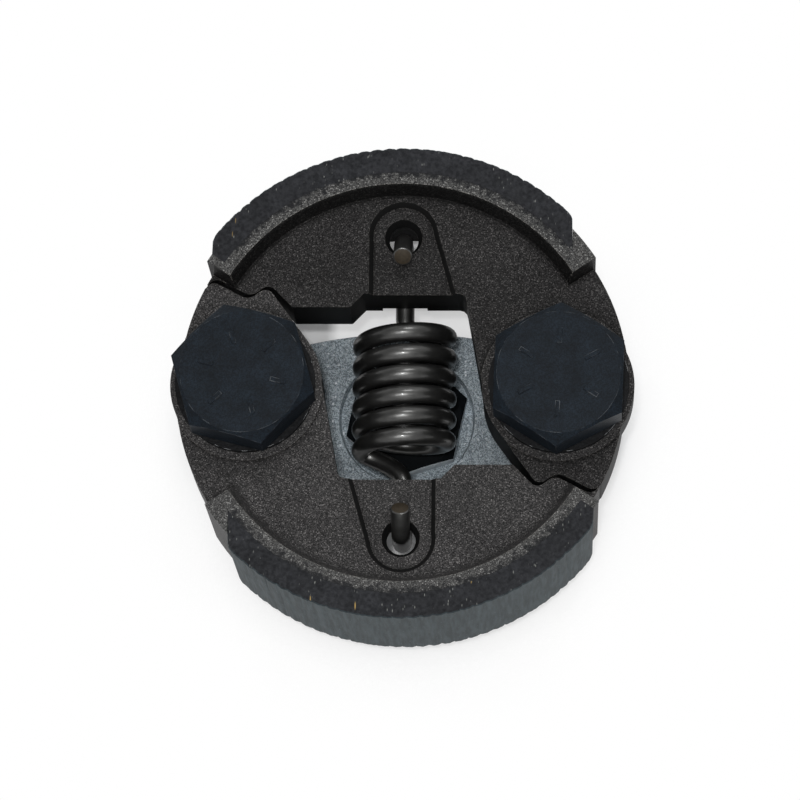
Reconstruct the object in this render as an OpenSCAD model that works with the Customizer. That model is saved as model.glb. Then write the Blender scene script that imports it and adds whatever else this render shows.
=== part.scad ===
// Two-shoe centrifugal clutch of a hedge trimmer.
// Origin: on the clutch axis, at the back face of the base plate.
// +Z runs along the axis towards the bolt heads. The bolts stand on the X axis, the upper shoe is at +Y.

/* [Linings] */

// Outer diameter over both linings at rest
lining_od = 53;  // [50:0.1:55]

// Width of a lining along the axis
lining_w = 17;  // [14:0.1:18]

// Thickness of a lining
lining_t = 2.8;  // [2:0.1:3.4]

// Distance from the clutch centre to the lining's end near its own pivot
lining_end_pivot = 18.7;  // [17:0.1:20]

// Distance from the clutch centre to the lining's free end
lining_end_free = 21;  // [19:0.1:22]

// Height of the linings above the base plate
lining_lift = 1.3;  // [0.8:0.1:3]

/* [Shoe body] */

// Width of the rail's top, along the radius
rail_t = 1.3;  // [0.9:0.1:2]

// How far the rail stands above the web
rail_h = 2.4;  // [1:0.1:3]

// Draft of the rail's inner wall, along the radius
rail_draft = 0.7;  // [0.3:0.1:1.2]

// Draft of the rail's ends, over its height
end_draft = 0.5;  // [0.2:0.1:0.8]

// Fillet between rail and web
rail_fillet = 0.7;  // [0.3:0.1:1]

// Thickness of the web
web_t = 7.4;  // [6:0.1:8]

// Radial thickness of the rim below the web
rim_t = 3.1;  // [2.4:0.1:4]

// Radial step from the lining's face down to the end stops
stop_step = 1.1;  // [0.6:0.1:1.6]

// Angle of the rail's end near its own pivot, at the rail's top, from the bolt line
rail_end_pivot = 33.2;  // [31:0.1:36]

// Angle of the rail's free end, at the rail's top, from the same side of the bolt line
rail_end_free = 148;  // [146.5:0.1:149]

// Radial step from the end stops down to the arm
arm_step = 0.9;  // [0.7:0.1:1.2]

// Radial step from the end stop down to the web beside the pivot
side_step = 0.5;  // [0.3:0.1:0.6]

/* [Window] */

// Distance of the shoe's inner edge from the bolt line
edge_y = 10.45;  // [9.9:0.05:11]

// Distance of the stepped part of that edge from the bolt line
step_y = 8.9;  // [8.5:0.05:9.5]

// Where the step starts, from the clutch centre
step_x = 5.85;  // [5:0.05:6.5]

// Length of the slope of the step
step_run = 1.5;  // [1:0.1:2]

// Where the stepped edge meets the slope of the other arm's tip, from the clutch centre
slope_x = 12.2;  // [11.5:0.1:12.8]

// Half width of the window at its corner
corner_x = 7.05;  // [6.6:0.05:7.5]

// Size of the window's corner
corner_cut = 0.9;  // [0.4:0.1:1.4]

// Half width of the window at the bolt line
waist_x = 8.8;  // [8.4:0.05:9.2]

/* [Arm tip] */

// Angle of the arm's slope, where it leaves the eye
slope_deg = 36;  // [34:1:40]

// Depth of the lobe at the arm's tip below the bolt line
lobe_y = 9.85;  // [9.5:0.05:10.2]

// Distance of the lobe from the clutch centre
lobe_x = 15.2;  // [14.9:0.05:15.5]

// Radius of the lobe
lobe_r = 1;  // [0.8:0.05:1.2]

// Radius of the dip beside the lobe
dip_r = 1.3;  // [1.1:0.05:1.5]

// Distance from the lobe's centre to the dip's centre, along the bolt line
dip_run = 2;  // [1.9:0.05:2.2]

// Distance from the lobe's centre to the dip's centre, square to the bolt line
dip_drop = 1.4;  // [1.3:0.05:1.5]

// Distance of the heel from the clutch centre
heel_x = 20.9;  // [20.6:0.05:21]

// Depth of the heel's centre below the bolt line
heel_y = 10.6;  // [10.4:0.05:10.8]

// Radius of the heel
heel_r = 1;  // [0.8:0.05:1.2]

// Gap between the shoes at the split line, along the bolt line
split_gap_x = 0.3;  // [0.15:0.01:0.4]

// Gap between the shoes at the split line, square to the bolt line
split_gap_y = 0.4;  // [0.2:0.01:0.5]

/* [Hook pocket] */

// Distance of the hook hole from the bolt line
hook_y = 17;  // [16.6:0.05:17.2]

// Diameter of the hook hole
hook_hole_d = 3.2;  // [2.9:0.1:3.6]

// Diameter of the hook hole's countersink
hook_ring_d = 4.2;  // [3.8:0.1:4.8]

// Depth of that countersink
hook_ring_depth = 1.2;  // [0.6:0.1:1.6]

// Length of the straight part of the hook hole
hook_throat = 0.8;  // [0.5:0.1:1.4]

// Diameter of the relief under the hook hole
relief_d = 6;  // [5.2:0.1:6.4]

// Distance of the pocket's round end from the bolt line
pocket_y = 17.1;  // [16.8:0.05:17.2]

// Radius of the pocket's round end
pocket_r = 3.35;  // [3.3:0.05:3.5]

// Distance of the pocket's sides from that end's centre
pocket_side = 3.3;  // [2.9:0.05:3.3]

// Depth of the pocket
pocket_depth = 0.7;  // [0.3:0.1:1]

// Run of the pocket's sloped wall
pocket_wall = 0.5;  // [0.2:0.1:0.7]

// Angle of the pocket's flared side
pocket_flare_deg = 16;  // [10:1:20]

// Width of the spring's slot under the web
slot_w = 5;  // [4:0.1:5.4]

// Depth of that slot
slot_depth = 1;  // [0.6:0.1:1.4]

/* [Pivots] */

// Distance of each bolt from the clutch centre
pivot_x = 17.2;  // [17:0.05:17.4]

// Outer radius of the pivot eye's upper part
eye_r = 8.3;  // [8.1:0.05:8.35]

// Height of that part, with the pad
eye_top_h = 4.5;  // [3:0.1:7]

// Outer radius of the eye below it
eye_low_r = 7.2;  // [6.8:0.05:7.6]

// Radius of the raised pad round the bolt
pad_r = 8.55;  // [8.5:0.05:8.8]

// Height of the raised pad
pad_h = 0.3;  // [0.1:0.05:0.5]

// Diameter of the bolt's shoulder
shoulder_d = 10;  // [9:0.1:11]

// Radial clearance between shoulder and eye
pivot_clear = 0.03;  // [0.02:0.01:0.08]

// Axial clearance under the eye
eye_clear_below = 0.2;  // [0.1:0.05:0.4]

// Axial clearance above the eye
eye_clear_above = 0.05;  // [0.04:0.01:0.1]

/* [Bolts and washers] */

// Width across flats of the bolt head
head_af = 14;  // [13:0.1:14.4]

// Height of the bolt head
head_h = 4.8;  // [4:0.1:6]

// Diameter of the flat top inside the chamfer
head_top_d = 13.5;  // [12.6:0.1:13.8]

// Slope of the head's chamfer
head_chamfer_deg = 38;  // [25:1:45]

// Diameter of the washer face under the head
face_d = 13;  // [12.4:0.1:13.4]

// Height of the washer face
face_h = 0.3;  // [0.2:0.05:0.5]

// Angle of the left bolt head
left_head_deg = 45.5;  // [0:0.5:60]

// Angle of the right bolt head
right_head_deg = 28;  // [0:0.5:60]

// Outer diameter of the washer
washer_d = 15.4;  // [14.4:0.1:16]

// Thickness of the washer
washer_t = 0.8;  // [0.6:0.05:1]

// Radial clearance between washer and shoulder
washer_clear = 0.15;  // [0.05:0.05:0.3]

// Diameter of the bolt's thread
thread_d = 8;  // [7:0.1:8.4]

// Length of the chamfer at the thread's end
thread_end = 0.8;  // [0.4:0.1:1.2]

// Radial clearance round the thread
thread_clear = 0.02;  // [0.01:0.01:0.05]

// Number of plain radial strokes on a head
stroke_count = 6;  // [3:1:8]

// Length of a stroke
stroke_len = 1.7;  // [1.2:0.1:2.2]

// Width of a stroke
stroke_w = 0.45;  // [0.3:0.05:0.6]

// Height of a stroke
stroke_h = 0.15;  // [0.1:0.05:0.3]

// Distance of a stroke's middle from the bolt's centre
stroke_at = 4.1;  // [3.4:0.1:4.6]

/* [Base plate] */

// Thickness of the base plate
plate_t = 3.5;  // [3:0.1:4]

// Half width of the plate at its middle
plate_half_w = 10;  // [9.4:0.1:10.4]

// Radius of the plate's long sides
plate_side_r = 50;  // [44:1:60]

// Radius of the plate's ends round the bolts
plate_end_r = 7;  // [6.8:0.05:7.4]

// Radius of the dished centre
dish_r = 7.7;  // [7.6:0.05:7.8]

// Depth of the dished centre
dish_depth = 1;  // [0.8:0.1:1.4]

// Slope of the dish's wall, along the radius
dish_wall = 0.25;  // [0.1:0.05:0.3]

// Diameter of the punch mark in the plate
punch_d = 1.5;  // [1:0.1:1.6]

// Depth of the punch mark
punch_depth = 0.3;  // [0.2:0.1:0.6]

// Distance of the punch mark from the clutch centre
punch_at = 8.8;  // [8.65:0.05:9.2]

// Angle of the punch mark
punch_deg = 220.5;  // [214:0.5:224]

/* [Hub] */

// Width across flats of the hub's hexagon
hub_af = 12.4;  // [11:0.1:12.6]

// Height of the hexagon above the dish
hub_h = 2.4;  // [2:0.1:2.6]

// Angle of the hexagon
hub_deg = 18;  // [0:0.5:60]

// Slope of the hexagon's chamfer
hub_chamfer_deg = 30;  // [20:1:40]

// Diameter of the hub's spigot through the plate
spigot_d = 10.4;  // [9.6:0.1:10.8]

// Radial clearance round the spigot
spigot_clear = 0.01;  // [0.01:0.01:0.03]

// Bore of the hub, at the crest of its thread
hub_bore_d = 6.8;  // [6:0.1:7]

// Chamfer at the bore's upper mouth
hub_bore_chamfer = 0.5;  // [0.3:0.1:0.7]

/* [Spring] */

// Diameter of the wire
wire_d = 2.1;  // [1.8:0.05:2.25]

// Mean diameter of the coil
coil_d = 9.6;  // [9.2:0.1:9.7]

// Distance between two turns
coil_pitch = 2.37;  // [2.3:0.01:2.5]

// Turns seen from above
coil_turns = 6;  // [5:1:6]

// Distance of the coil's middle from the bolt line
coil_mid_y = 0.87;  // [0:0.01:1]

// Gap between the hook wire and the slot above it
wire_gap = 0.15;  // [0.1:0.05:0.3]

// Gap between the hook wire and the inner side of its hole
hook_clear = 0.05;  // [0.02:0.01:0.2]

// Radius of the bend under the hook hole
bend_r = 1.9;  // [1.6:0.1:2.2]

// Radius of the bend above the hook hole
lean_r = 1.8;  // [1.4:0.1:2.2]

// How far the hook's end leans back
lean_deg = 40;  // [20:1:50]

// Length of the hook's end after its bend
tip_len = 2.9;  // [2:0.1:3.6]

// Height of that bend's start under the pocket's floor
lean_start = 0.9;  // [0.5:0.1:1.2]

// Run from the coil's last turn to the upper hook's straight wire
upper_run = 2;  // [1.6:0.1:3]

// Run from the coil's first turn to the lower hook's straight wire
lower_run = 3.9;  // [3:0.1:4.2]

// How far a run follows the turn before it heads for the axis
run_follow = 2.4;  // [1.5:0.1:4]

// Length over which a run bends into the straight wire
run_lead = 2.4;  // [2.2:0.1:3]

// Sides of the wire
wire_sides = 10;  // [8:1:12]

// Steps in one turn
turn_steps = 24;  // [16:1:30]

/* [Hidden] */

$fn = 64;
round_fn = 180;
cut = 1;
far = 2 * lining_od;

iron = [0.2, 0.18, 0.17];
friction = [0.14, 0.16, 0.17];
black = [0.07, 0.08, 0.1];
zinc = [0.62, 0.66, 0.7];
spring_steel = [0.12, 0.12, 0.12];

lining_r = lining_od / 2;
rail_r = lining_r - lining_t;
rail_in_r = rail_r - rail_t;
stop_r = lining_r - stop_step;
arm_r = stop_r - arm_step;
side_r = stop_r - side_step;
rim_in_r = rail_r - rim_t;
foot_r = rail_in_r - rail_draft - rail_fillet;
seat_trim = 0.02;

eye_z0 = plate_t + eye_clear_below;
lining_z0 = plate_t + lining_lift;
rail_z1 = lining_z0 + lining_w;
web_z1 = rail_z1 - rail_h;
web_z0 = web_z1 - web_t;
pad_z1 = web_z1 + pad_h;
pocket_z = web_z1 - pocket_depth;
slot_z = web_z0 + slot_depth;
relief_z = pocket_z - hook_ring_depth - hook_throat;

washer_z0 = pad_z1 + eye_clear_above;
head_z0 = washer_z0 + washer_t;
hex_z0 = head_z0 + face_h;
head_z1 = hex_z0 + head_h;

dish_z = plate_t - dish_depth;
hub_z1 = dish_z + hub_h;

wire_r = wire_d / 2;
coil_r = coil_d / 2;
coil_z = slot_z - wire_gap - wire_r;
hook_wire_y = hook_y - hook_hole_d / 2 + wire_r + hook_clear;

function hex_corner_r(af) = af / sqrt(3);
function arc(cx, cy, r, a0, a1, n) =
    [for (i = [0:n]) [cx + r * cos(a0 + (a1 - a0) * i / n), cy + r * sin(a0 + (a1 - a0) * i / n)]];

// Outline of the arm's tip, from the window round to the outside
dip_deg = 90 + atan2(dip_drop, dip_run);
heel_deg = 28;
tip_end_deg = 360 - atan2(heel_y, heel_x);
tip_steps = 5;
tip_line = concat(
    arc(lobe_x, -lobe_y, lobe_r, 180 + slope_deg, 180 + dip_deg, tip_steps),
    arc(lobe_x + dip_run, -lobe_y - dip_drop, dip_r, dip_deg, 90 - heel_deg, tip_steps),
    arc(heel_x, -heel_y, heel_r, 270 - heel_deg, tip_end_deg, tip_steps));

// The other shoe's tip, seen from this shoe and set off by the gap
split_line = [for (i = [len(tip_line) - 1:-1:0])
    [-tip_line[i][0] + split_gap_x, -tip_line[i][1] + split_gap_y]];

// Plain outline of the web and its arm, wider than the circle that trims it
eye_side_deg = 6;
eye_steps = 8;
corner_steps = 3;
web_line = concat(
    [[-far, far], [-far, split_line[0][1]]],
    split_line,
    [[-slope_x, step_y], [-step_x, step_y], [-step_x + step_run, edge_y]],
    arc(corner_x - corner_cut, edge_y - corner_cut, corner_cut, 90, 0, corner_steps),
    [[waist_x, 0]],
    arc(pivot_x, 0, pivot_x - waist_x, 180 + eye_side_deg, 180 + slope_deg, eye_steps),
    tip_line,
    [far * [cos(tip_end_deg), sin(tip_end_deg)] + far * [-sin(tip_end_deg), cos(tip_end_deg)],
     [far, far]]);

module sector(a0, a1) {
    mid = (a0 + a1) / 2;
    polygon([[0, 0], far * [cos(a0), sin(a0)], far * [cos(mid), sin(mid)], far * [cos(a1), sin(a1)]]);
}

module half_turn() {
    rotate([0, 0, 180]) children();
}

// Plan of the lining between two radii. Its pivot end is cut square, its free end round the stop
module lining_area(r0, r1) {
    difference() {
        intersection() {
            circle(r = r1, $fn = round_fn);
            translate([-lining_end_free, 0]) square([lining_end_free + lining_end_pivot, far]);
        }
        circle(r = r0, $fn = round_fn);
        intersection() {
            circle(r = stop_r, $fn = round_fn);
            sector(acos(-lining_end_free / stop_r), 180);
        }
    }
}

// Circles that trim the web: a larger one from the bolt line up on the pivot's side
module trim_area() {
    circle(r = arm_r, $fn = round_fn);
    intersection() {
        circle(r = side_r, $fn = round_fn);
        square(far);
    }
}

module web(z, h) {
    translate([0, 0, z]) linear_extrude(height = h) intersection() {
        trim_area();
        polygon(web_line);
    }
}

// Raised pad, as wide as the arm lets it be
module pad() {
    intersection() {
        web(web_z1 - pad_h, 2 * pad_h);
        translate([pivot_x, 0, web_z1 - 2 * pad_h]) cylinder(r = pad_r, h = 4 * pad_h);
    }
}

// Rail, rim and stops turned in one section
module rail() {
    rotate([0, 0, rail_end_pivot])
        rotate_extrude(angle = rail_end_free - rail_end_pivot, $fn = round_fn) polygon(concat(
            [[rim_in_r, lining_z0], [stop_r, lining_z0], [stop_r, rail_z1], [rail_in_r, rail_z1]],
            arc(foot_r, web_z1 + rail_fillet - seat_trim, rail_fillet, 0, -90, corner_steps),
            [[rim_in_r, web_z1 - rail_fillet]]));
}

// The rail carried on past one end, out to r1, for the end's drafted foot
module past_end(end_deg, r1) {
    spare = 2 * atan2(end_draft, rail_r);
    rotate([0, 0, end_deg - spare]) rotate_extrude(angle = 2 * spare, $fn = round_fn) polygon(concat(
        [[foot_r + seat_trim, web_z1 - cut], [r1 - seat_trim, web_z1 - cut],
         [r1 - seat_trim, rail_z1 - seat_trim], [rail_in_r + seat_trim, rail_z1 - seat_trim]],
        arc(foot_r + seat_trim, web_z1 + rail_fillet - 2 * seat_trim, rail_fillet, 0, -90, corner_steps)));
}

module end_feet() {
    lean = atan2(end_draft, rail_h);
    intersection() {
        past_end(rail_end_pivot, side_r);
        rotate([0, 0, rail_end_pivot - 90]) translate([-seat_trim, 0, rail_z1])
            half_turn() inside_wall(-lean);
    }
    intersection() {
        past_end(rail_end_free, arm_r);
        rotate([0, 0, rail_end_free - 90]) translate([seat_trim, 0, rail_z1]) inside_wall(-lean);
        translate([seat_trim, seat_trim, web_z1 - 2 * cut])
            linear_extrude(height = rail_h + 4 * cut) polygon(web_line);
    }
}

// All space inside a wall that leans outwards by lean, with its foot on the Y axis
module inside_wall(lean) {
    rotate([0, -lean, 0]) translate([0, -far, -far]) cube([far, 2 * far, 2 * far]);
}

// Hook pocket: a round end and two straight walls, all sloped alike
module pocket() {
    lean = atan2(pocket_wall, pocket_depth);
    h = pocket_depth + cut;
    a = pocket_flare_deg;
    translate([0, pocket_y, pocket_z]) {
        cylinder(r1 = pocket_r, r2 = pocket_r + h * tan(lean), h = h);
        intersection() {
            linear_extrude(height = h)
                polygon([[0, 0], far * [-1, 0], [-far, edge_y - pocket_y - cut],
                         [far, edge_y - pocket_y - cut], far * [cos(a), sin(a)]]);
            translate([-pocket_side, 0, 0]) inside_wall(lean);
            rotate([0, 0, a]) translate([pocket_side, 0, 0]) half_turn() inside_wall(lean);
        }
    }
}

module hook_hole() {
    translate([0, hook_y, relief_z - cut]) cylinder(d = hook_hole_d, h = web_z1 - relief_z + 2 * cut);
    translate([0, hook_y, pocket_z - hook_ring_depth])
        cylinder(d1 = hook_hole_d, d2 = hook_ring_d, h = hook_ring_depth);
    translate([0, hook_y, web_z0 - cut]) cylinder(d = relief_d, h = relief_z - web_z0 + cut);
    translate([-slot_w / 2, 0, web_z0 - cut]) cube([slot_w, hook_y, slot_depth + cut]);
}

module shoe() {
    difference() {
        union() {
            web(web_z0, web_t);
            rail();
            end_feet();
            pad();
            translate([pivot_x, 0, pad_z1 - eye_top_h]) cylinder(r = eye_r, h = eye_top_h);
            translate([pivot_x, 0, eye_z0]) cylinder(r = eye_low_r, h = pad_z1 - eye_z0);
        }
        translate([0, 0, lining_z0 - cut]) linear_extrude(height = lining_w + 2 * cut)
            lining_area(rail_r, far);
        pocket();
        hook_hole();
        translate([pivot_x, 0, eye_z0 - cut])
            cylinder(d = shoulder_d + 2 * pivot_clear, h = pad_z1 - eye_z0 + 2 * cut);
    }
}

module upper_shoe() {
    color(iron) shoe();
}

module lower_shoe() {
    color(iron) half_turn() shoe();
}

module lining() {
    translate([0, 0, lining_z0]) linear_extrude(height = lining_w) lining_area(rail_r, lining_r);
}

module upper_lining() {
    color(friction) lining();
}

module lower_lining() {
    color(friction) half_turn() lining();
}

// Hexagon with a conical chamfer on its upper corners
module chamfered_hex(af, h, top_d, slope) {
    corner = hex_corner_r(af);
    drop = (corner - top_d / 2) * tan(slope);
    intersection() {
        cylinder(r = corner, h = h, $fn = 6);
        union() {
            translate([0, 0, h - drop]) cylinder(r1 = corner, r2 = top_d / 2, h = drop);
            cylinder(r = corner + cut, h = h - drop);
        }
    }
}

module bolt(head_deg) {
    translate([pivot_x, 0, 0]) {
        translate([0, 0, hex_z0]) rotate([0, 0, head_deg])
            chamfered_hex(head_af, head_h, head_top_d, head_chamfer_deg);
        translate([0, 0, head_z0]) cylinder(d = face_d, h = face_h);
        translate([0, 0, plate_t]) cylinder(d = shoulder_d, h = head_z0 - plate_t);
        translate([0, 0, thread_end]) cylinder(d = thread_d, h = plate_t - thread_end);
        cylinder(d1 = thread_d - 2 * thread_end, d2 = thread_d, h = thread_end);
        for (i = [0:stroke_count - 1]) rotate([0, 0, head_deg + i * 360 / stroke_count])
            translate([stroke_at - stroke_len / 2, -stroke_w / 2, head_z1 - stroke_h])
                cube([stroke_len, stroke_w, 2 * stroke_h]);
    }
}

module right_bolt() {
    color(black) bolt(right_head_deg);
}

module left_bolt() {
    color(black) half_turn() bolt(left_head_deg - 180);
}

module washer() {
    translate([pivot_x, 0, washer_z0]) difference() {
        cylinder(d = washer_d, h = washer_t);
        translate([0, 0, -cut]) cylinder(d = shoulder_d + 2 * washer_clear, h = washer_t + 2 * cut);
    }
}

module right_washer() {
    color(black) washer();
}

module left_washer() {
    color(black) half_turn() washer();
}

module plate_area() {
    intersection() {
        translate([0, plate_half_w - plate_side_r]) circle(r = plate_side_r, $fn = round_fn);
        translate([0, plate_side_r - plate_half_w]) circle(r = plate_side_r, $fn = round_fn);
        square([2 * pivot_x, 4 * plate_half_w], center = true);
    }
    translate([pivot_x, 0]) circle(r = plate_end_r);
    translate([-pivot_x, 0]) circle(r = plate_end_r);
}

module base_plate() {
    color(zinc) difference() {
        linear_extrude(height = plate_t) plate_area();
        translate([0, 0, dish_z])
            cylinder(r1 = dish_r - dish_wall, r2 = dish_r + dish_wall, h = 2 * dish_depth);
        translate([0, 0, -cut]) cylinder(d = spigot_d + 2 * spigot_clear, h = plate_t + cut);
        for (x = [-pivot_x, pivot_x]) translate([x, 0, -cut])
            cylinder(d = thread_d + 2 * thread_clear, h = plate_t + 2 * cut);
        rotate([0, 0, punch_deg]) translate([punch_at, 0, plate_t - punch_depth])
            cylinder(d1 = punch_d / 2, d2 = 3 * punch_d / 2, h = 2 * punch_depth);
    }
}

module hub() {
    color(zinc) difference() {
        union() {
            translate([0, 0, dish_z]) rotate([0, 0, hub_deg])
                chamfered_hex(hub_af, hub_h, hub_af, hub_chamfer_deg);
            cylinder(d = spigot_d, h = dish_z + cut);
        }
        translate([0, 0, -cut]) cylinder(d = hub_bore_d, h = hub_z1 + 2 * cut);
        translate([0, 0, hub_z1 - hub_bore_chamfer])
            cylinder(d1 = hub_bore_d, d2 = hub_bore_d + 4 * hub_bore_chamfer, h = 2 * hub_bore_chamfer);
    }
}

// Centre line of the spring: lower hook, coil, upper hook
coil_half = (coil_turns - 1) / 2 * 360 + 90;
run_steps = 12;
bend_steps = 6;

function coil_point(a) = let (turn = a + 180 * (coil_turns - 1))
    [coil_r * sin(turn), coil_mid_y + coil_pitch * a / 360, coil_z + coil_r * cos(turn)];

// From the last turn in to the axis; s runs from 0 at the turn to 1 at the axis
function run_point(s, run) = let (
        from = [coil_r, coil_pitch * coil_half / 360, coil_z],
        to = from + [-coil_r, run, 0],
        follow = from + run_follow * [0, coil_pitch / (PI * coil_d), -1],
        lead = to - [0, run_lead, 0])
    pow(1 - s, 3) * from + 3 * pow(1 - s, 2) * s * follow + 3 * (1 - s) * s * s * lead + s * s * s * to;

lean_y = hook_wire_y - lean_r;
lean_z = pocket_z - lean_start;

// One hook's line from the last turn to the tip, with the coil's own middle at mid
function hook_line(mid, run) = concat(
    [for (i = [1:run_steps]) run_point(i / run_steps, run) + [0, mid, 0]],
    [for (i = [0:bend_steps]) let (a = 90 * i / bend_steps)
        [0, hook_wire_y - bend_r + bend_r * sin(a), coil_z + bend_r - bend_r * cos(a)]],
    [for (i = [0:bend_steps]) let (a = lean_deg * i / bend_steps)
        [0, lean_y + lean_r * cos(a), lean_z + lean_r * sin(a)]],
    [[0, lean_y + lean_r * cos(lean_deg) - tip_len * sin(lean_deg),
      lean_z + lean_r * sin(lean_deg) + tip_len * cos(lean_deg)]]);

function turned(p) = [-p[0], -p[1], p[2]];
function backwards(l) = [for (i = [len(l) - 1:-1:0]) l[i]];

coil_steps = round(2 * coil_half / 360 * turn_steps);
spring_line = concat(
    backwards([for (p = hook_line(-coil_mid_y, lower_run)) turned(p)]),
    [for (i = [0:coil_steps]) coil_point(-coil_half + 2 * coil_half * i / coil_steps)],
    hook_line(coil_mid_y, upper_run));

function unit(v) = v / norm(v);
function along(l, i) = unit(l[min(i + 1, len(l) - 1)] - l[max(i - 1, 0)]);
function square_to(v, t) = unit(v - (v * t) * t);

// Side vectors carried along the line without twist
function side_vectors(l) =
    [for (i = 0, v = square_to([1, 0, 0], along(l, 0)); i < len(l);
          i = i + 1, v = i < len(l) ? square_to(v, along(l, i)) : v) v];

module swept(line, r, n) {
    sides = side_vectors(line);
    last = len(line) - 1;
    points = [for (i = [0:last]) let (t = along(line, i), u = sides[i], w = cross(t, u))
        for (k = [0:n - 1]) line[i] + r * (cos(360 * k / n) * u + sin(360 * k / n) * w)];
    walls = [for (i = [0:last - 1]) for (k = [0:n - 1]) let (m = (k + 1) % n)
        [i * n + k, (i + 1) * n + k, (i + 1) * n + m, i * n + m]];
    polyhedron(points, concat(
        walls,
        [[for (k = [0:n - 1]) k]],
        [[for (k = [n - 1:-1:0]) last * n + k]]));
}

module spring() {
    color(spring_steel) swept(spring_line, wire_r, wire_sides);
}

base_plate();
hub();
left_bolt();
right_bolt();
left_washer();
right_washer();
upper_shoe();
lower_shoe();
upper_lining();
lower_lining();
spring();
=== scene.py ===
"""Two-shoe clutch of a hedge trimmer: finishes, linings, spring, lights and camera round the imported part.

Lengths are in millimetres, and mm() turns them into the scene's metres. The frame is the part's own:
the axis is Z, the bolts stand on X, and the upper shoe is at +Y.
"""

import math

import bpy
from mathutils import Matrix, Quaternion, Vector


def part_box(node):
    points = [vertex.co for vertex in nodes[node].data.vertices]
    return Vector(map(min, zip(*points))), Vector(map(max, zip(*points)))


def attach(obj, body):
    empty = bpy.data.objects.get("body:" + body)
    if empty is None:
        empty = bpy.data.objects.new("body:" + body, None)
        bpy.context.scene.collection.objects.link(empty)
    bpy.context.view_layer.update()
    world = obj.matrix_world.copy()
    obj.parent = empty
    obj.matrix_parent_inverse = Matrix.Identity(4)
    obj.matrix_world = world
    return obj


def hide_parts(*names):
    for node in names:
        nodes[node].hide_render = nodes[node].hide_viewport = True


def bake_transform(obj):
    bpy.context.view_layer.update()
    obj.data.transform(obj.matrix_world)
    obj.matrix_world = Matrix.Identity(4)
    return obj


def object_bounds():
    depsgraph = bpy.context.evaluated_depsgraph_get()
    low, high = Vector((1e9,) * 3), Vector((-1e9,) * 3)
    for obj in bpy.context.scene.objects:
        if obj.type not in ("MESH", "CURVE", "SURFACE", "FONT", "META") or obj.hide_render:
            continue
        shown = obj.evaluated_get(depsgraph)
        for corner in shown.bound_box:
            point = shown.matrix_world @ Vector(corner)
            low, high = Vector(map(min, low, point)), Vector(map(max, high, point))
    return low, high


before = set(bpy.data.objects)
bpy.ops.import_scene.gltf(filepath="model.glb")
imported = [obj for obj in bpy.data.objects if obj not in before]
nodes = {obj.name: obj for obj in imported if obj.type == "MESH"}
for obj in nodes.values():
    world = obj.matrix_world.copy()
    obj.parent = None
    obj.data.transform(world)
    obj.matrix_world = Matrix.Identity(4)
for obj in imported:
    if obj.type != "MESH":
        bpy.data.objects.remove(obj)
cad_lo, cad_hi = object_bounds()


def mm(length):
    return length / 1000


def point(x, y, z):
    return Vector((mm(x), mm(y), mm(z)))


# Shader nodes


def add(tree, kind, inputs=(), **settings):
    """A node with its settings, and its sockets set to values or linked to other nodes' outputs."""
    node = tree.nodes.new(kind)
    for name, value in settings.items():
        setattr(node, name, value)
    for socket, value in dict(inputs).items():
        if isinstance(value, bpy.types.NodeSocket):
            tree.links.new(value, node.inputs[socket])
        else:
            node.inputs[socket].default_value = value
    return node


def new_material(name, **sockets):
    """A Principled material, and its tree and shader. Sockets are named with _ for a space."""
    material = bpy.data.materials.new(name)
    material.use_nodes = True
    tree = material.node_tree
    shader = tree.nodes["Principled BSDF"]
    for socket, value in sockets.items():
        shader.inputs[socket.replace("_", " ")].default_value = value
    return material, tree, shader


def tone(red, green, blue, gain=1.0):
    """A colour that shows as these levels from 0 to 255 on a screen, times gain."""
    return (*(gain * ((v / 255 + 0.055) / 1.055) ** 2.4 for v in (red, green, blue)), 1)


def grey(level):
    return (level, level, level, 1)


def object_place(tree, stretch=(1, 1, 1), turn=(0, 0, 0)):
    """Object coordinates in millimetres, stretched or turned for streaks."""
    coords = add(tree, "ShaderNodeTexCoord").outputs["Object"]
    inputs = {"Vector": coords, "Scale": [1000 / s for s in stretch], "Rotation": turn}
    return add(tree, "ShaderNodeMapping", inputs).outputs["Vector"]


def noise(tree, size, detail, place=None):
    """Noise with grains of about size millimetres."""
    place = place or object_place(tree)
    inputs = {"Vector": place, "Scale": 1 / size, "Detail": detail}
    return add(tree, "ShaderNodeTexNoise", inputs).outputs["Fac"]


def specks(tree, size, share, place=None):
    """1 in the middle of a share of a Voronoi pattern's cells, 0 elsewhere."""
    place = place or object_place(tree)
    cells = add(tree, "ShaderNodeTexVoronoi", {"Vector": place, "Scale": 1 / size})
    channels = add(tree, "ShaderNodeSeparateColor", {"Color": cells.outputs["Color"]})
    picked = math_node(tree, "LESS_THAN", channels.outputs["Red"], share)
    middle = map_range(tree, cells.outputs["Distance"], 0.15, 0.45, 1, 0)
    return math_node(tree, "MULTIPLY", picked, middle)


def grains(tree, size, power):
    """A brightness of its own for each cell of about size millimetres, mostly low and now and then 1."""
    cells = add(tree, "ShaderNodeTexVoronoi", {"Vector": object_place(tree), "Scale": 1 / size})
    channels = add(tree, "ShaderNodeSeparateColor", {"Color": cells.outputs["Color"]})
    bright = math_node(tree, "POWER", channels.outputs["Red"], power)
    return math_node(tree, "MULTIPLY", bright, map_range(tree, cells.outputs["Distance"], 0.2, 0.6, 1, 0))


def grit(tree, size):
    """Two fine noises in one value from 0 to 1, with strong contrast."""
    both = math_node(tree, "ADD", noise(tree, size, 1), noise(tree, size / 2, 0))
    return map_range(tree, both, 0.78, 1.26, 0, 1)


def math_node(tree, operation, a, b=0.0):
    return add(tree, "ShaderNodeMath", {0: a, 1: b}, operation=operation).outputs[0]


def map_range(tree, value, from_min, from_max, to_min, to_max):
    inputs = {"Value": value, "From Min": from_min, "From Max": from_max, "To Min": to_min, "To Max": to_max}
    return add(tree, "ShaderNodeMapRange", inputs).outputs["Result"]


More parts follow.
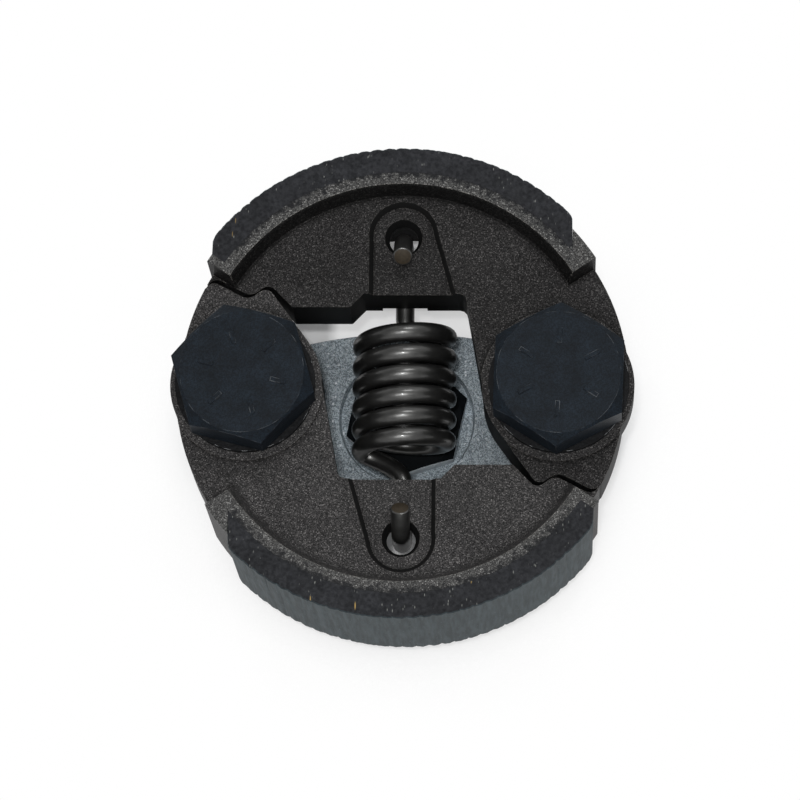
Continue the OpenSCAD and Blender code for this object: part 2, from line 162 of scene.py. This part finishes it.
def mix_colour(tree, factor, a, b, blend="MIX"):
    node = add(tree, "ShaderNodeMix", data_type="RGBA", blend_type=blend)
    for socket, value in (("Factor_Float", factor), ("A_Color", a), ("B_Color", b)):
        target = next(s for s in node.inputs if s.identifier == socket)
        if isinstance(value, bpy.types.NodeSocket):
            tree.links.new(value, target)
        else:
            target.default_value = value
    return next(s for s in node.outputs if s.identifier == "Result_Color")


def flatness(tree, low=0.6, high=0.95):
    """1 where the surface faces up or down, 0 on upright walls. Low and high bound the slopes between."""
    normal = add(tree, "ShaderNodeNewGeometry").outputs["Normal"]
    up = add(tree, "ShaderNodeSeparateXYZ", {"Vector": normal}).outputs["Z"]
    return map_range(tree, math_node(tree, "ABSOLUTE", up), low, high, 0, 1)


def edges(tree, radius, full=0.8):
    """1 on edges within radius millimetres, and the rounded normal. A higher full takes in blunter edges."""
    soft = add(tree, "ShaderNodeBevel", {"Radius": mm(radius)}, samples=6).outputs["Normal"]
    sharp = add(tree, "ShaderNodeNewGeometry").outputs["Normal"]
    dot = add(tree, "ShaderNodeVectorMath", {0: soft, 1: sharp}, operation="DOT_PRODUCT").outputs["Value"]
    return map_range(tree, dot, 0.99, full, 0, 1), soft


def corner_shade(tree, reach, darkest):
    """1 in the open, less towards a corner that closes in within reach millimetres."""
    inputs = {"Distance": mm(reach)}
    shade = add(tree, "ShaderNodeAmbientOcclusion", inputs, samples=4, only_local=True).outputs["AO"]
    return map_range(tree, shade, 0.45, 0.95, darkest, 1)


def bump(tree, height, depth, normal=None):
    """Bump of depth millimetres."""
    inputs = {"Height": height, "Distance": mm(depth)}
    if normal is not None:
        inputs["Normal"] = normal
    return add(tree, "ShaderNodeBump", inputs).outputs["Normal"]


def combine(tree, value):
    """A value as a grey colour."""
    return add(tree, "ShaderNodeCombineColor", {"Red": value, "Green": value, "Blue": value}).outputs["Color"]


def tinted(tree, colour, factor):
    """A colour times a factor that varies over the surface."""
    return mix_colour(tree, 1.0, colour, combine(tree, factor), "MULTIPLY")


def place_parts(tree):
    """Distance from the clutch's axis and height above its back face, in millimetres."""
    place = object_place(tree)
    flat = add(tree, "ShaderNodeVectorMath", {0: place, 1: (1, 1, 0)}, operation="MULTIPLY").outputs["Vector"]
    radius = add(tree, "ShaderNodeVectorMath", {0: flat}, operation="LENGTH").outputs["Value"]
    return radius, add(tree, "ShaderNodeSeparateXYZ", {"Vector": place}).outputs["Z"]


# Materials

RAIL_TOP_FROM, RAIL_TOP_TO = 21.3, 21.7
RAIL_FOOT_R, RAIL_IN_R = 21.0, 22.4
SMEAR_FROM, SMEAR_TO, SMEAR_END_X = 23.0, 23.7, 18.2
PAINTED_SHADE_UNDER_FROM, PAINTED_SHADE_UNDER_TO = 12.0, 16.0
PAD_FROM, PAD_TO = 19.5, 19.6
OUTSIDE_FROM, OUTSIDE_TO = 24.1, 24.3


def iron_flats(tree, radius, height, gain, pad_painted_light):
    """Pressed flats of fine grain with painted glints, painted lighter or darker as a whole by gain and
    painted brighter on the pad. The rail's top is rubbed bright and smeared by the bond.
    """
    fine = grit(tree, 0.18)
    body = mix_colour(tree, fine, tone(24, 24, 24, gain), tone(54, 53, 53, gain))
    # Painted glints: bright grains standing in for light sparkling off the iron.
    body = mix_colour(tree, grains(tree, 0.15, 2.6), body, tone(112, 110, 109, gain))
    body = tinted(tree, body, map_range(tree, noise(tree, 6, 2), 0.3, 0.7, 0.85, 1.15))
    # Painted light: the raised pad round the bolt is painted brighter.
    body = tinted(tree, body, map_range(tree, height, PAD_FROM, PAD_TO, 1, pad_painted_light))
    rubbed = mix_colour(tree, fine, tone(40, 40, 40), tone(90, 90, 89))
    # Painted glints on the rubbed rail top, over its real wear.
    rubbed = mix_colour(tree, grains(tree, 0.16, 3), rubbed, tone(166, 165, 163))
    ragged = math_node(tree, "ADD", radius, map_range(tree, noise(tree, 0.7, 4), 0.3, 0.7, -0.8, 0.8))
    smear = map_range(tree, ragged, SMEAR_FROM, SMEAR_TO, 0, 0.9)
    across = add(tree, "ShaderNodeSeparateXYZ", {"Vector": object_place(tree)}).outputs["X"]
    within = map_range(tree, math_node(tree, "ABSOLUTE", across), SMEAR_END_X, SMEAR_END_X + 0.4, 1, 0)
    rubbed = mix_colour(tree, math_node(tree, "MULTIPLY", smear, within), rubbed, tone(32, 33, 35))
    return mix_colour(tree, map_range(tree, height, RAIL_TOP_FROM, RAIL_TOP_TO, 0, 1), body, rubbed)


def iron_walls(tree, flats, radius, height, rail_wall_painted_shade):
    """Die walls in painted shade: dark round the pocket and the split, darker lower down under the web, and
    on the rail the flats' colour dimmed.
    """
    rail = map_range(tree, radius, RAIL_FOOT_R - 0.05, RAIL_FOOT_R + 0.05, 0, 1)
    # Painted shade: walls inside the rail's foot are set dark, the rail's walls take the flats' colour
    # dimmed.
    wall = mix_colour(tree, rail, tone(24, 24, 24), tinted(tree, flats, rail_wall_painted_shade))
    outside = map_range(tree, radius, RAIL_IN_R + 0.5, RAIL_IN_R + 0.6, 0, 1)
    # Painted shade under the web, lifted outside the rail.
    under = math_node(tree, "MAXIMUM", outside, map_range(tree, height, PAINTED_SHADE_UNDER_FROM, PAINTED_SHADE_UNDER_TO, 0.15, 1))
    return tinted(tree, wall, under)


def sintered_iron(name, gain, pad_painted_light, rail_wall_painted_shade, gloss):
    """Pressed and sintered iron, worn bright along broken lengths of its edges, partly as a painted
    highlight. Painted shade darkens its walls and corners.
    """
    material, tree, shader = new_material(name, Roughness=0.55, Metallic=0.1, Specular_IOR_Level=gloss)
    flat = flatness(tree)
    radius, height = place_parts(tree)
    flats = iron_flats(tree, radius, height, gain, pad_painted_light)
    walls = iron_walls(tree, flats, radius, height, rail_wall_painted_shade)
    colour = mix_colour(tree, flat, walls, flats)
    open_side = map_range(tree, radius, OUTSIDE_FROM, OUTSIDE_TO, 0, 0.85)
    # Painted shade in corners, lifted on the open outer side.
    colour = tinted(tree, colour, math_node(tree, "MAXIMUM", open_side, corner_shade(tree, 0.7, 0.2)))
    worn, soft = edges(tree, 0.13)
    broken = map_range(tree, noise(tree, 0.25, 2), 0.44, 0.56, 0, 0.9)
    inner = map_range(tree, radius, SMEAR_FROM, SMEAR_FROM + 0.2, 1, 0)
    shown = map_range(tree, height, RAIL_TOP_FROM - 0.5, RAIL_TOP_FROM, 0.3, inner)
    broken = math_node(tree, "MULTIPLY", broken, shown)
    # Worn edges, partly a painted highlight where the edges catch the light.
    colour = mix_colour(tree, math_node(tree, "MULTIPLY", worn, broken), colour, tone(172, 168, 162))
    tree.links.new(colour, shader.inputs["Base Color"])
    grain = math_node(tree, "MULTIPLY", grit(tree, 0.22), flat)
    tree.links.new(bump(tree, grain, 0.05, soft), shader.inputs["Normal"])
    return material


FIBRE_TURNS = (0.4, 1.3, 2.5)


def lining_stuff():
    """Friction lining: dark lumpy top with short fibres, ground outer wall with streaks along the axis."""
    material, tree, shader = new_material("friction_lining", Roughness=0.6, Specular_IOR_Level=0.12)
    flat = flatness(tree)
    lumps = noise(tree, 0.4, 4)
    above = mix_colour(tree, map_range(tree, lumps, 0.34, 0.66, 0, 1), tone(24, 25, 28), tone(44, 45, 48))
    above = tinted(tree, above, map_range(tree, noise(tree, 3, 2), 0.3, 0.7, 0.8, 1.2))
    patches = map_range(tree, noise(tree, 1.6, 1), 0.48, 0.56, 0, 1)
    for turn in FIBRE_TURNS:
        fibres = specks(tree, 0.13, 0.03, object_place(tree, (1, 3.5, 1), (0, 0, turn)))
        above = mix_colour(tree, math_node(tree, "MULTIPLY", fibres, patches), above, tone(128, 130, 126))
    brass = specks(tree, 0.2, 0.003, object_place(tree, (1, 6, 1), (0, 0, 0.35)))
    above = mix_colour(tree, brass, above, tone(170, 142, 86))
    streaks = noise(tree, 0.4, 3, object_place(tree, (1, 1, 10), (0.1, 0.06, 0)))
    side = mix_colour(tree, map_range(tree, streaks, 0.38, 0.66, 0, 1), tone(47, 55, 58), tone(64, 74, 78))
    side = mix_colour(tree, specks(tree, 0.25, 0.03), side, tone(96, 104, 106))
    tree.links.new(mix_colour(tree, flat, side, above), shader.inputs["Base Color"])
    height = mix_colour(tree, flat, combine(tree, streaks), combine(tree, lumps))
    tree.links.new(bump(tree, height, 0.12), shader.inputs["Normal"])
    return material


def black_oxide(name, base, patch, bare_and_highlight):
    """Black oxide on steel, mottled. A share of its edges, set by the two ends of patch, is worn bright and
    partly a painted highlight where the edges catch the light.
    """
    material, tree, shader = new_material(name, Roughness=0.5, Metallic=0.1, Specular_IOR_Level=0.12)
    base = tinted(tree, base, map_range(tree, noise(tree, 1.8, 5), 0.3, 0.7, 0.7, 1.3))
    base = tinted(tree, base, map_range(tree, grit(tree, 0.25), 0, 1, 0.6, 1.4))
    worn, soft = edges(tree, 0.09, 0.96)
    broken = map_range(tree, noise(tree, 1.6, 3), *patch, 0, 0.8)
    # Worn edges, partly a painted highlight.
    base = mix_colour(tree, math_node(tree, "MULTIPLY", worn, broken), base, bare_and_highlight)
    tree.links.new(base, shader.inputs["Base Color"])
    tree.links.new(bump(tree, noise(tree, 0.5, 4), 0.05, soft), shader.inputs["Normal"])
    return material


def zinc():
    """Zinc plating on a blasted plate: a pale blue-grey with a fine mottle."""
    material, tree, shader = new_material("zinc", Roughness=0.55, Metallic=0.1, Specular_IOR_Level=0.3)
    mottle = grit(tree, 0.24)
    colour = mix_colour(tree, mottle, tone(105, 115, 121), tone(185, 196, 203))
    colour = mix_colour(tree, grains(tree, 0.3, 12), colour, tone(240, 244, 248))
    colour = tinted(tree, colour, map_range(tree, noise(tree, 3, 2), 0.3, 0.7, 0.8, 1.15))
    worn, soft = edges(tree, 0.12)
    colour = mix_colour(tree, math_node(tree, "MULTIPLY", worn, 0.4), colour, tone(215, 220, 224))
    tree.links.new(colour, shader.inputs["Base Color"])
    tree.links.new(bump(tree, mottle, 0.03, soft), shader.inputs["Normal"])
    return material


def hub_finish():
    """Zinc sides painted near white for the light that falls on them, and a near-black top face."""
    material, tree, shader = new_material("hub_finish", Roughness=0.6, Specular_IOR_Level=0.05)
    mottle = noise(tree, 0.5, 3)
    # Painted light: the sides are painted near white for the light that falls on them from the front.
    side = mix_colour(tree, mottle, tone(200, 210, 216), tone(240, 246, 250))
    top = mix_colour(tree, mottle, tone(5, 7, 9), tone(16, 20, 23))
    above = map_range(tree, place_parts(tree)[1], 1, 1.5, 0, 1)
    dark_top_face = math_node(tree, "MULTIPLY", flatness(tree, 0.3, 0.5), above)
    tree.links.new(mix_colour(tree, dark_top_face, side, top), shader.inputs["Base Color"])
    tree.links.new(bump(tree, mottle, 0.02, edges(tree, 0.15)[1]), shader.inputs["Normal"])
    return material


def spring_steel():
    """Oil-hardened wire: a soft dark shine under a thin film of oil."""
    coat = {"Coat_Weight": 0.5, "Coat_Roughness": 0.13}
    material, tree, shader = new_material("spring_steel", Roughness=0.4, Metallic=0.9, **coat)
    cloud = map_range(tree, noise(tree, 1.4, 3), 0.3, 0.7, 0.8, 1.2)
    tree.links.new(tinted(tree, tone(75, 75, 74), cloud), shader.inputs["Base Color"])
    tree.links.new(bump(tree, noise(tree, 0.25, 2), 0.004), shader.inputs["Normal"])
    return material


def cut_end():
    """The wire's cut ends, a little brown."""
    material, tree, shader = new_material("cut_end", Roughness=0.5, Metallic=0.1, Specular_IOR_Level=0.2)
    brown = mix_colour(tree, noise(tree, 0.3, 2), tone(38, 33, 26), tone(64, 56, 45))
    tree.links.new(brown, shader.inputs["Base Color"])
    return material


# Painted light and shade: one sintered iron for both shoes, painted darker on the upper shoe and lighter on
# the lower, with their own painted pad light and wall shade.
UPPER_IRON_PAINTED_SHADE = sintered_iron("upper_iron", 0.88, 1.35, 0.22, 0.07)
LOWER_IRON_PAINTED_LIGHT = sintered_iron("lower_iron", 1.42, 1.15, 0.85, 0.12)
BOLT = black_oxide("bolt_black", tone(17, 24, 31), (0.5, 0.64), tone(112, 116, 120))
WASHER = black_oxide("washer_black", tone(14, 15, 17), (0.56, 0.6), tone(170, 172, 174))
LINING, ZINC, HUB, WIRE, CUT = (make() for make in (lining_stuff, zinc, hub_finish, spring_steel, cut_end))
FINISHES = {
    "upper_shoe": UPPER_IRON_PAINTED_SHADE, "lower_shoe": LOWER_IRON_PAINTED_LIGHT, "left_bolt": BOLT, "right_bolt": BOLT,
    "left_washer": WASHER, "right_washer": WASHER, "base_plate": ZINC, "hub": HUB,
}
CAD_SMOOTH_DEG, LINING_SMOOTH_DEG, WIRE_SMOOTH_DEG = 28, 35, 40


def dress(obj, *materials):
    obj.data.materials.clear()
    for material in materials:
        obj.data.materials.append(material)


def smooth(obj, below_deg):
    """Smooth shading that keeps the edges where faces meet at more than below_deg."""
    obj.data.shade_smooth()
    obj.data.set_sharp_from_angle(angle=math.radians(below_deg))


def new_mesh(name, points, faces):
    mesh = bpy.data.meshes.new(name)
    mesh.from_pydata(points, [], faces)
    mesh.update()
    obj = bpy.data.objects.new(name, mesh)
    bpy.context.scene.collection.objects.link(obj)
    return obj


for name, material in FINISHES.items():
    dress(nodes[name], material)
    smooth(nodes[name], CAD_SMOOTH_DEG)

# Linings with a scalloped outer edge

LINING_R, SEAT_R, STOP_R = 26.5, 23.7, 25.4
LINING_Z = tuple(1000 * corner.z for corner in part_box("upper_lining"))
END_PIVOT, END_FREE = 18.7, -21.0
SCALLOP_DEG, SCALLOP_DEPTH, SCALLOP_LEAN = 3.2, 0.14, 0.02
RIPPLE_DEPTH = 0.025
CHAMFER, CORNER_R = 0.12, 0.6
ARC_STEP_DEG = 0.17
FLUTE_RING_DROP = 8


def polar(r, deg):
    return r * math.cos(math.radians(deg)), r * math.sin(math.radians(deg))


def scalloped(deg, z):
    """Outer radius of a lining, with shallow grinding flutes that lean a little along the axis."""
    place = deg / SCALLOP_DEG + SCALLOP_LEAN * (z - LINING_Z[0])
    count, phase = divmod(place, 1)
    depth = SCALLOP_DEPTH * (0.65 + 0.35 * math.sin(2.3 * count + 0.7 * count * count))
    ripple = RIPPLE_DEPTH * (1 + math.sin(11 * place) * math.sin(4.1 * place))
    return LINING_R - depth * (1 - 4 * phase * (1 - phase)) - ripple


def lining_outline(z, inset):
    """Points round a lining at height z, with its outer arc drawn in by inset."""
    start = math.degrees(math.acos(END_PIVOT / LINING_R))
    end = math.degrees(math.acos(END_FREE / LINING_R))
    steps = int((end - start) / ARC_STEP_DEG)
    outer = []
    for i in range(steps + 1):
        deg = start + (end - start) * i / steps
        x, y = polar(scalloped(deg, z) - inset, deg)
        near = min(END_PIVOT - x, x - END_FREE, CORNER_R)
        y -= CORNER_R - math.sqrt(CORNER_R**2 - (CORNER_R - max(near, 0)) ** 2)
        outer.append((min(max(x, END_FREE), END_PIVOT), y))
    stop_deg = math.degrees(math.acos(END_FREE / STOP_R))
    inner_start = math.degrees(math.acos(END_PIVOT / SEAT_R))
    inner = [polar(SEAT_R, stop_deg + (inner_start - stop_deg) * i / steps) for i in range(steps + 1)]
    return outer + [polar(STOP_R, stop_deg)] + inner


def lining(name, node, body, turned):
    """A closed lining in place of its CAD node. The second one is the first turned half a turn."""
    low, high = LINING_Z
    levels = [(low, 0.0), (high - FLUTE_RING_DROP, 0.0), (high - CHAMFER, 0.0), (high, CHAMFER)]
    rings = [lining_outline(z, inset) for z, inset in levels]
    count = len(rings[0])
    sign = -1 if turned else 1
    points = [point(sign * x, sign * y, z) for (z, _), ring in zip(levels, rings) for x, y in ring]
    faces = []
    for level in range(len(levels) - 1):
        a, b = level * count, (level + 1) * count
        for i in range(count):
            j = (i + 1) % count
            faces.append((a + i, a + j, b + j, b + i))
    steps = (count - 2) // 2
    top = (len(levels) - 1) * count
    for base, order in ((0, -1), (top, 1)):
        # the outer arc's point i faces the inner arc's point count - 1 - i
        for i in range(steps):
            face = (base + i, base + i + 1, base + count - 2 - i, base + count - 1 - i)
            faces.append(face[::order])
        tip = (base + steps, base + steps + 1, base + steps + 2)
        faces.append(tip[::order])
    obj = new_mesh(name, points, faces)
    dress(obj, LINING)
    smooth(obj, LINING_SMOOTH_DEG)
    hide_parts(node)
    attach(obj, body)


lining("upper_friction_lining", "upper_lining", "upper", False)
lining("lower_friction_lining", "lower_lining", "lower", True)

# Spring, in two halves, each with its own hook

WIRE_R, COIL_R, PITCH, TURNS, COIL_MID_Y = 1.05, 4.8, 2.37, 6, 0.87
COIL_Z = 1000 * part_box("spring")[0].z + COIL_R + WIRE_R
HOOK_Y, HOOK_HOLE_R, HOOK_CLEAR = 17.0, 1.6, 0.05
BEND_R, LEAN_R, LEAN_DEG, TIP = 1.9, 1.8, 40, 2.9
LEAN_Z = 17.8
RUN_FOLLOW, RUN_LEAD = 2.4, 2.4
UPPER_RUN, LOWER_RUN = 2.0, 3.9
HALF_TURN = (TURNS - 1) / 2 * 360 + 90
WIRE_SIDES, STEPS_PER_TURN = 20, 48
RUN_STEPS, BEND_STEPS, LEAN_STEPS = 20, 10, 8
CUT_RIM, CUT_RISE = 0.12, 0.084
WIRE_Y = HOOK_Y - HOOK_HOLE_R + WIRE_R + HOOK_CLEAR


def coil_point(deg):
    """Centre of the wire at deg of winding from the coil's middle."""
    turn = math.radians(deg + 180 * (TURNS - 1))
    return Vector((COIL_R * math.sin(turn), PITCH * deg / 360, COIL_Z + COIL_R * math.cos(turn)))


def run_point(s, run):
    """Bezier curve from the last turn's side in to the axis."""
    start = coil_point(HALF_TURN)
    end = Vector((0, start.y + run, COIL_Z))
    follow = start + RUN_FOLLOW * Vector((0, PITCH / (2 * math.pi * COIL_R), -1))
    lead = end - Vector((0, RUN_LEAD, 0))
    return (1 - s) ** 3 * start + 3 * (1 - s) ** 2 * s * follow + 3 * (1 - s) * s * s * lead + s**3 * end


def half_line(mid, run):
    """Centre line from the coil's middle to one hook's tip, for a hook at +Y."""
    shift = Vector((0, mid, 0))
    steps = int(HALF_TURN / 360 * STEPS_PER_TURN)
    line = [coil_point(HALF_TURN * i / steps) + shift for i in range(steps + 1)]
    line += [run_point(i / RUN_STEPS, run) + shift for i in range(1, RUN_STEPS + 1)]
    for i in range(BEND_STEPS + 1):
        a = math.pi / 2 * i / BEND_STEPS
        bend = WIRE_Y - BEND_R + BEND_R * math.sin(a), COIL_Z + BEND_R - BEND_R * math.cos(a)
        line.append(Vector((0, *bend)))
    lean = math.radians(LEAN_DEG)
    for i in range(LEAN_STEPS + 1):
        a = lean * i / LEAN_STEPS
        line.append(Vector((0, WIRE_Y - LEAN_R + LEAN_R * math.cos(a), LEAN_Z + LEAN_R * math.sin(a))))
    line.append(line[-1] + TIP * Vector((0, -math.sin(lean), math.cos(lean))))
    return line


def tube(name, line, radius, sides):
    """Round wire along a line. Its last ring is drawn in to a cut face."""
    points, faces = [], []
    side = Vector((1, 0, 0))
    for i, centre in enumerate(line):
        along = (line[min(i + 1, len(line) - 1)] - line[max(i - 1, 0)]).normalized()
        side = (side - side.dot(along) * along).normalized()
        other = along.cross(side)
        for k in range(sides):
            a = 2 * math.pi * k / sides
            points.append(centre + radius * (math.cos(a) * side + math.sin(a) * other))
    for i in range(len(line) - 1):
        for k in range(sides):
            m = (k + 1) % sides
            faces.append((i * sides + k, i * sides + m, (i + 1) * sides + m, (i + 1) * sides + k))
    last = (len(line) - 1) * sides
    ring = len(points)
    for k in range(sides):
        centre = line[-1]
        points.append(centre + (points[last + k] - centre) * (1 - CUT_RIM / radius) + along * CUT_RISE)
    for k in range(sides):
        m = (k + 1) % sides
        faces.append((last + k, last + m, ring + m, ring + k))
    faces.append(tuple(range(ring, ring + sides)))
    faces.append(tuple(reversed(range(sides))))
    return new_mesh(name, [mm(1) * p for p in points], faces)


def half_spring(name, turned):
    """Half of the coil with its hook, turned half a turn about the axis for the lower half."""
    mid, run = (-COIL_MID_Y, LOWER_RUN) if turned else (COIL_MID_Y, UPPER_RUN)
    line = half_line(mid, run)
    if turned:
        line = [Vector((-p.x, -p.y, p.z)) for p in line]
    obj = tube(name, line, WIRE_R, WIRE_SIDES)
    dress(obj, WIRE, CUT)
    smooth(obj, WIRE_SMOOTH_DEG)
    obj.data.polygons[len(obj.data.polygons) - 2].material_index = 1
    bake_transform(obj)
    return obj


upper_half = half_spring("upper_half_spring", False)
half_spring("lower_half_spring", True)
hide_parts("spring")

# Floor, lights and camera

FLOOR_HALF, FLOOR_DROP = 1500, 0.05
CORNERS = ((-1, -1), (1, -1), (1, 1), (-1, 1))
UNDER_REACH, UNDER_DARK, UNDER_WHITE = 22, 0.2, 0.7
NEAR_REACH, NEAR_DARK, NEAR_WHITE = 6, 0.45, 0.97
# Size and share of a painted pool of light on the floor under the window.
PATCH_HALF_X, PATCH_Y, PATCH_HALF_Y, PATCH_BLUR, PATCH_SHARE = 8, 10.5, 3, 1.5, 0.5
WORLD_LIGHT = 0.34
CEILING, CEILING_FROM, CEILING_TO = 0.3, 0.3, 0.8


def seen_rays(tree, *kinds):
    """1 for rays of these kinds, 0 for others."""
    path = add(tree, "ShaderNodeLightPath").outputs
    seen = path[kinds[0]]
    for kind in kinds[1:]:
        seen = math_node(tree, "MAXIMUM", seen, path[kind])
    return seen


def floor_shade(tree, reach, dark, white):
    """0 where the part covers much of the sky within reach, in millimetres, and 1 in the open."""
    sky_share = add(tree, "ShaderNodeAmbientOcclusion", {"Distance": mm(reach)}, samples=8).outputs["AO"]
    return map_range(tree, sky_share, dark, white, 0, 1)


def painted_window_light(tree):
    """A painted pool of light on the floor under the window between the shoes: a share of white there."""
    axes = add(tree, "ShaderNodeSeparateXYZ", {"Vector": object_place(tree)})
    across = math_node(tree, "ABSOLUTE", axes.outputs["X"])
    along = math_node(tree, "ABSOLUTE", math_node(tree, "SUBTRACT", axes.outputs["Y"], PATCH_Y))
    within_x = map_range(tree, across, PATCH_HALF_X, PATCH_HALF_X + PATCH_BLUR, PATCH_SHARE, 0)
    within_y = map_range(tree, along, PATCH_HALF_Y, PATCH_HALF_Y + PATCH_BLUR, 1, 0)
    return math_node(tree, "MULTIPLY", within_x, within_y)


def pale_floor():
    """White where it is seen, with a shadow under and close to the part, and a painted pool of light under
    the window. It lights as a plain pale floor.
    """
    material, tree, shader = new_material("pale_floor", Base_Color=grey(0.93), Roughness=0.9)
    seen = seen_rays(tree, "Is Camera Ray", "Is Glossy Ray", "Is Transmission Ray")
    white = add(tree, "ShaderNodeEmission", {"Color": grey(1), "Strength": 1.0}).outputs["Emission"]
    under = floor_shade(tree, UNDER_REACH, UNDER_DARK, UNDER_WHITE)
    near = floor_shade(tree, NEAR_REACH, NEAR_DARK, NEAR_WHITE)
    # The painted pool of light under the window is added to the white here.
    share = math_node(tree, "MAXIMUM", math_node(tree, "MINIMUM", under, near), painted_window_light(tree))
    share = math_node(tree, "MULTIPLY", seen, share)
    mixed = add(tree, "ShaderNodeMixShader", {0: share, 1: shader.outputs["BSDF"], 2: white})
    tree.links.new(mixed.outputs["Shader"], tree.nodes["Material Output"].inputs["Surface"])
    return material


floor = new_mesh("floor", [point(FLOOR_HALF * x, FLOOR_HALF * y, 0) for x, y in CORNERS], [(0, 1, 2, 3)])
floor.location.z = cad_lo.z - mm(FLOOR_DROP)
dress(floor, pale_floor())

scene = bpy.context.scene
world = bpy.data.worlds.new("studio")
scene.world = world
world.use_nodes = True
sky = world.node_tree
background = sky.nodes["Background"]
direction = add(sky, "ShaderNodeTexCoord").outputs["Generated"]
upward = add(sky, "ShaderNodeSeparateXYZ", {"Vector": direction}).outputs["Z"]
ceiling = map_range(sky, upward, CEILING_FROM, CEILING_TO, 1, CEILING)
mirrored = seen_rays(sky, "Is Glossy Ray", "Is Transmission Ray")
strength = add(sky, "ShaderNodeMix", {0: mirrored, 2: WORLD_LIGHT, 3: ceiling}).outputs[0]
strength = math_node(sky, "MAXIMUM", strength, seen_rays(sky, "Is Camera Ray"))
sky.links.new(strength, background.inputs["Strength"])
background.inputs["Color"].default_value = grey(1)


def lamp(name, place, size, share, aim=(0, 0, 0)):
    """Round area lamp. Share is its part of a light in which a colour shows as it is written."""
    data = bpy.data.lights.new(name, "AREA")
    data.shape = "DISK"
    data.size = mm(size)
    place, aim = point(*place), point(*aim)
    data.energy = share * math.pi**2 * (place - aim).length_squared
    obj = bpy.data.objects.new(name, data)
    scene.collection.objects.link(obj)
    obj.location = place
    obj.rotation_mode = "QUATERNION"
    obj.rotation_quaternion = (aim - place).to_track_quat("-Z", "Y")


lamp("key", (-20, -190, 600), 300, 0.27)
lamp("core", (-5, -110, 630), 30, 0.25)
lamp("back", (90, 330, 560), 220, 0.24)
lamp("front", (40, -420, 420), 300, 0.06)

AIM = (-0.2, -1.65, 19.4)
AZIMUTH, ELEVATION, ROLL = 8.96, 76.08, 8.62
DISTANCE = 483.9
LENS, SENSOR = 198.5, 36

camera_data = bpy.data.cameras.new("camera")
camera_data.lens, camera_data.sensor_width = LENS, SENSOR
camera_data.clip_start, camera_data.clip_end = mm(10), mm(5000)
camera = bpy.data.objects.new("camera", camera_data)
scene.collection.objects.link(camera)
a, e = math.radians(AZIMUTH), math.radians(ELEVATION)
back = Vector((math.sin(a) * math.cos(e), -math.cos(a) * math.cos(e), math.sin(e)))
camera.location = point(*AIM) + mm(DISTANCE) * back
camera.rotation_mode = "QUATERNION"
camera.rotation_quaternion = (-back).to_track_quat("-Z", "Y") @ Quaternion((0, 0, 1), -math.radians(ROLL))
scene.camera = camera
scene.view_settings.view_transform = "Standard"
